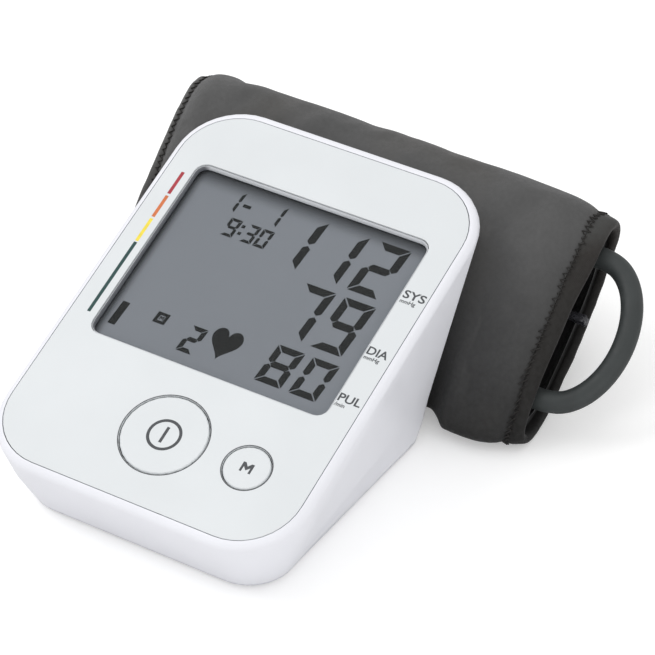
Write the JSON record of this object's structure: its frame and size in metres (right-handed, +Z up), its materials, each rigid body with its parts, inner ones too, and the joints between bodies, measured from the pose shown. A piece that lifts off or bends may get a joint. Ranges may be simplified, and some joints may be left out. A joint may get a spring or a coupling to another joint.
{
  "type": "upper arm blood pressure monitor",
  "caption": "Wedge-shaped digital upper arm blood pressure monitor with a large sloping display, a round start button, a memory button and a rolled fabric arm cuff with its air tube behind it.",
  "frame": {"origin": "middle of the whole object's footprint, on the table", "axes": "+Z up, -Y towards the user (the display faces -Y and up), +X to the user's right along the cuff"},
  "size_m": [0.1834, 0.1792, 0.0719],
  "materials": {
    "case_white": "satin moulded white with a faint orange-peel",
    "panel_white": "smooth satin white",
    "bezel_grey": "satin grey",
    "clear_lens": "clear polished",
    "display_grey": "smooth grey film",
    "silicone": "translucent satin",
    "board_green": "solder-resist satin",
    "black_plastic": "fine matt",
    "grey_plastic": "fine matt",
    "steel": "plated",
    "contact_metal": "nickel plated",
    "brass": "turned",
    "cell_jacket": "printed film jacket",
    "foot_rubber": "matt",
    "cuff_nylon": "fine woven nylon, slightly sheened",
    "cuff_lining": "brushed loop lining",
    "tube_rubber": "satin",
    "tag_clear": "thin shiny film"
  },
  "bodies": {
    "casing": {"face_panel": "panel_white", "lcd_bezel": "bezel_grey", "lcd_window": "clear_lens", "lcd_cell": "display_grey", "lcd_holder": "case_white", "zebra_strip_1": "silicone", "zebra_strip_2": "silicone", "main_board": "board_green", "start_switch": "black_plastic", "memory_switch": "black_plastic", "pressure_sensor": "black_plastic", "buzzer": "black_plastic", "top_housing": "case_white", "bottom_shell": "case_white", "rubber_foot_1": "foot_rubber", "rubber_foot_2": "foot_rubber", "rubber_foot_3": "foot_rubber", "rubber_foot_4": "foot_rubber", "case_screw_1": "steel", "case_screw_2": "steel", "case_screw_3": "steel", "case_screw_4": "steel", "battery_aa_1": "cell_jacket", "battery_aa_2": "cell_jacket", "battery_aa_3": "cell_jacket", "battery_aa_4": "cell_jacket", "contact_link_1_2": "contact_metal", "contact_link_3_4": "contact_metal", "contact_link_2_3": "contact_metal", "contact_terminal_plus": "contact_metal", "contact_terminal_minus": "contact_metal", "pump_motor": "steel", "pump_head": "black_plastic", "valve_body": "steel", "air_manifold": "case_white", "hose_pump": "silicone", "hose_valve": "silicone", "hose_sensor": "silicone", "hose_socket": "silicone", "air_socket": "grey_plastic", "power_jack": "black_plastic"},
    "battery_door": {"battery_door": "case_white"},
    "start_button": {"start_button": "panel_white"},
    "memory_button": {"memory_button": "panel_white"},
    "pump_shaft": {"pump_shaft": "brass"},
    "valve_plunger": {"valve_plunger": "brass"},
    "cuff": {"cuff_cover": "cuff_nylon", "cuff_inner_layers": "cuff_lining", "cuff_bladder": "silicone", "cuff_port": "black_plastic", "cuff_tag": "tag_clear", "air_tube": "tube_rubber", "air_plug": "grey_plastic"}
  },
  "joints": [
    {"name": "start_button_press", "type": "slide", "parent": "casing", "child": "start_button", "axis": [0, 0.3007, -0.9537], "range_m": [0, 0.001]},
    {"name": "memory_button_press", "type": "slide", "parent": "casing", "child": "memory_button", "axis": [0, 0.3007, -0.9537], "range_m": [0, 0.001]},
    {"name": "battery_door_hinge", "type": "hinge", "parent": "casing", "child": "battery_door", "pos_m": [-0.01394, -0.05094, 0.0012], "axis": [-1, 0, 0], "range_deg": [0, 60]},
    {"name": "pump_spin", "type": "hinge", "parent": "casing", "child": "pump_shaft", "pos_m": [-0.02994, 0.00226, 0.0307], "axis": [1, 0, 0], "continuous": true},
    {"name": "valve_stroke", "type": "slide", "parent": "casing", "child": "valve_plunger", "axis": [-1, 0, 0], "range_m": [0, 0.0012]},
    {"name": "cuff_lift_away", "type": "slide", "parent": "casing", "child": "cuff", "axis": [0, 1, 0], "range_m": [0, 0.08]}
  ]
}
